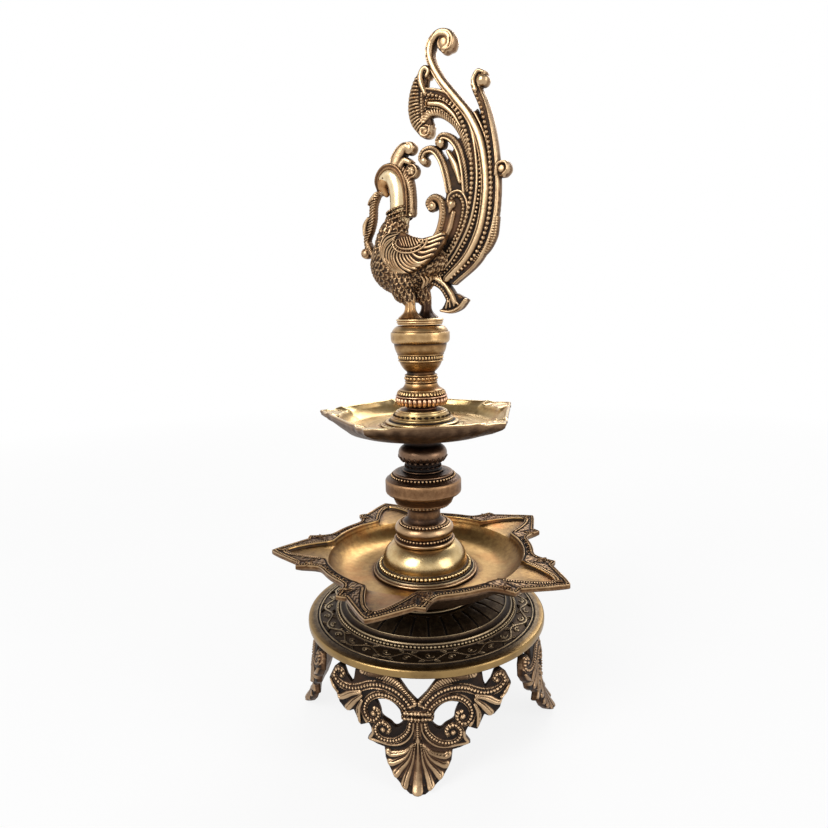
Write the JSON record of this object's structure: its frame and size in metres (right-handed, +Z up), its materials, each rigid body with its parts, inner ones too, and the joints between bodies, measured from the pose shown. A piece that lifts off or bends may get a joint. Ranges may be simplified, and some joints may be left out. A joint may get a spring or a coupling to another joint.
{
  "type": "figural oil lamp",
  "caption": "Two-tier cast-brass oil lamp: pierced scroll legs, round stand, spouted basin, turned stem, cornered tray, urn and a peacock on top.",
  "frame": {"origin": "on the floor under the middle of the lamp's box; the stem's axis stands 8.6 mm from it towards +X and 2.9 mm towards +Y", "axes": "+Z up along the stem, -Y towards the front leg, +X towards the right leg"},
  "size_m": [0.2201, 0.2256, 0.4954],
  "materials": {
    "antique_brass": "antiqued cast brass, dark in the recesses and rubbed bright on the relief",
    "pale_brass": "satin polished brass with warm staining",
    "dark_brass": "dark patinated brass with rubbed edges",
    "copper_toned_brass": "antiqued brass with a reddish lower band",
    "fastener_steel": "plain plated steel"
  },
  "bodies": {
    "base": {"stand_disc": "dark_brass", "leg_front": "antique_brass", "leg_right": "antique_brass", "leg_back": "antique_brass", "leg_left": "antique_brass", "leg_front_screw_a": "fastener_steel", "leg_front_screw_b": "fastener_steel", "leg_right_screw_a": "fastener_steel", "leg_right_screw_b": "fastener_steel", "leg_back_screw_a": "fastener_steel", "leg_back_screw_b": "fastener_steel", "leg_left_screw_a": "fastener_steel", "leg_left_screw_b": "fastener_steel", "pedestal_ring": "dark_brass", "base_stud": "fastener_steel", "base_washer": "fastener_steel", "base_nut": "fastener_steel", "spouted_basin": "pale_brass"},
    "bell_bush": {"bell_bush": "fastener_steel"},
    "lower_stem": {"bell": "pale_brass", "stem_rod": "fastener_steel", "neck_spool": "antique_brass", "knop": "antique_brass", "ball": "antique_brass", "cornered_tray": "pale_brass", "tray_collar": "antique_brass"},
    "bulb_bush": {"bulb_bush": "fastener_steel"},
    "upper_stem": {"bulb": "copper_toned_brass", "urn_stud": "fastener_steel", "urn": "antique_brass"},
    "finial_stud": {"finial_stud": "fastener_steel"},
    "finial": {"peacock_finial": "antique_brass"}
  },
  "joints": [
    {"name": "lower_stem_rise", "type": "slide", "parent": "base", "child": "bell_bush", "axis": [0, 0, 1], "range_m": [0, 0.01226]},
    {"name": "lower_stem_unscrew", "type": "hinge", "parent": "bell_bush", "child": "lower_stem", "pos_m": [0.0086, 0.0029, 0.125], "axis": [0, 0, 1], "range_deg": [0, 2520]},
    {"name": "upper_stem_rise", "type": "slide", "parent": "lower_stem", "child": "bulb_bush", "axis": [0, 0, 1], "range_m": [0, 0.00901]},
    {"name": "upper_stem_unscrew", "type": "hinge", "parent": "bulb_bush", "child": "upper_stem", "pos_m": [0.0086, 0.0029, 0.245], "axis": [0, 0, 1], "range_deg": [0, 2160]},
    {"name": "finial_rise", "type": "slide", "parent": "upper_stem", "child": "finial_stud", "axis": [0, 0, 1], "range_m": [0, 0.01001]},
    {"name": "finial_unscrew", "type": "hinge", "parent": "finial_stud", "child": "finial", "pos_m": [0.0086, 0.0029, 0.3], "axis": [0, 0, 1], "range_deg": [0, 2880]}
  ],
  "couplings": [
    {"joint": "lower_stem_rise", "follows": "lower_stem_unscrew", "m_per_rad": 0.00027852},
    {"joint": "upper_stem_rise", "follows": "upper_stem_unscrew", "m_per_rad": 0.00023873},
    {"joint": "finial_rise", "follows": "finial_unscrew", "m_per_rad": 0.00019894}
  ]
}
